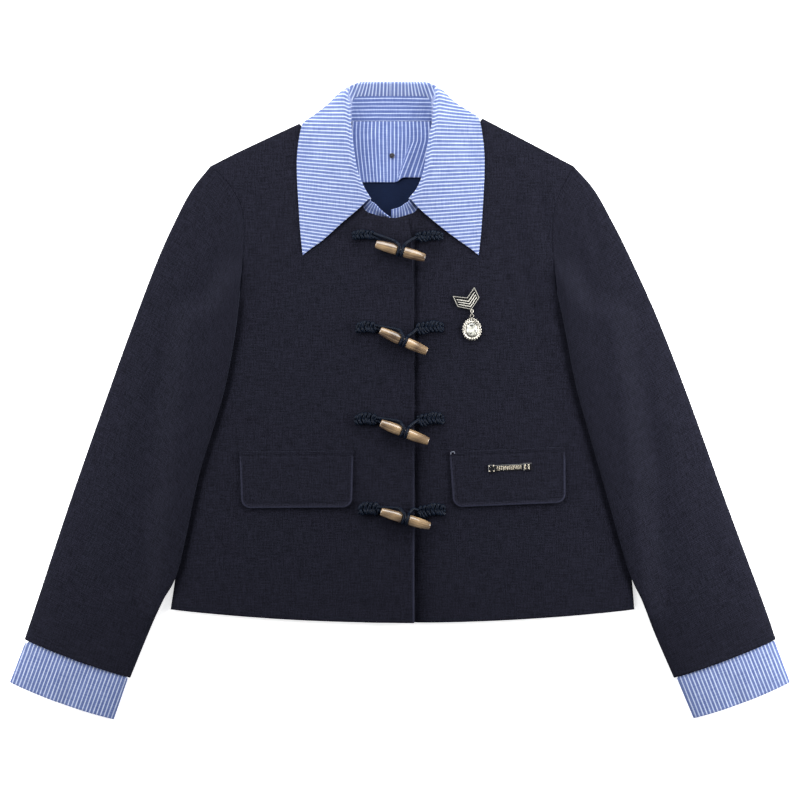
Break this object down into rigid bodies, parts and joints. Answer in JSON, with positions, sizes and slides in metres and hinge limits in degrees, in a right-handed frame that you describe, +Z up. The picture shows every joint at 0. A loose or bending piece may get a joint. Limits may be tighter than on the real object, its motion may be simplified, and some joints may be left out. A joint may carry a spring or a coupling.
{
  "type": "toggle-front cropped blazer",
  "caption": "Cropped blazer closed by horn toggles on cord loops, with a striped shirt collar and cuffs, flap pockets and a brooch, laid flat on its back.",
  "frame": {"origin": "under the middle of the overall box, on the surface that the garment lies on", "axes": "+X to the wearer's left, +Y to the collar, +Z up from the surface"},
  "size_m": [0.842, 0.6891, 0.026],
  "materials": {
    "navy_wool": "matt twill",
    "striped_shirting": "woven stripe",
    "navy_cord": "twisted cord",
    "horn": "polished imitation horn",
    "silver": "polished",
    "brass": "polished",
    "black_enamel": "gloss",
    "crystal": "polished"
  },
  "bodies": {
    "garment": {"back": "navy_wool", "bar_clip_1": "brass", "bar_clip_2": "brass", "bar_strip": "brass", "brooch_plate": "black_enamel", "collar_fall": "striped_shirting", "collar_stand": "striped_shirting", "cuff_left": "striped_shirting", "cuff_right": "striped_shirting", "dickey_flap": "striped_shirting", "flap_left": "navy_wool", "flap_right": "navy_wool", "frog_left_1": "navy_cord", "frog_left_2": "navy_cord", "frog_left_3": "navy_cord", "frog_left_4": "navy_cord", "frog_right_1": "navy_cord", "frog_right_2": "navy_cord", "frog_right_3": "navy_cord", "frog_right_4": "navy_cord", "front_left": "navy_wool", "front_right": "navy_wool", "loop_1": "navy_cord", "loop_2": "navy_cord", "loop_3": "navy_cord", "loop_4": "navy_cord", "sleeve_left": "navy_wool", "sleeve_right": "navy_wool", "snap": "silver", "tail_1": "navy_cord", "tail_2": "navy_cord", "tail_3": "navy_cord", "tail_4": "navy_cord", "toggle_1": "horn", "toggle_2": "horn", "toggle_3": "horn", "toggle_4": "horn"},
    "ring": {"jump_ring": "silver"},
    "medallion": {"medallion_setting": "silver", "medallion_stone": "crystal"}
  },
  "joints": [
    {"name": "ring_swing", "type": "hinge", "parent": "garment", "child": "ring", "pos_m": [0.07736, 0.09556, 0.01086], "axis": [0, 0, 1], "range_deg": [-30, 30]},
    {"name": "medallion_lift", "type": "hinge", "parent": "ring", "child": "medallion", "pos_m": [0.07736, 0.09296, 0.01086], "axis": [-1, 0, 0], "range_deg": [0, 100]}
  ]
}
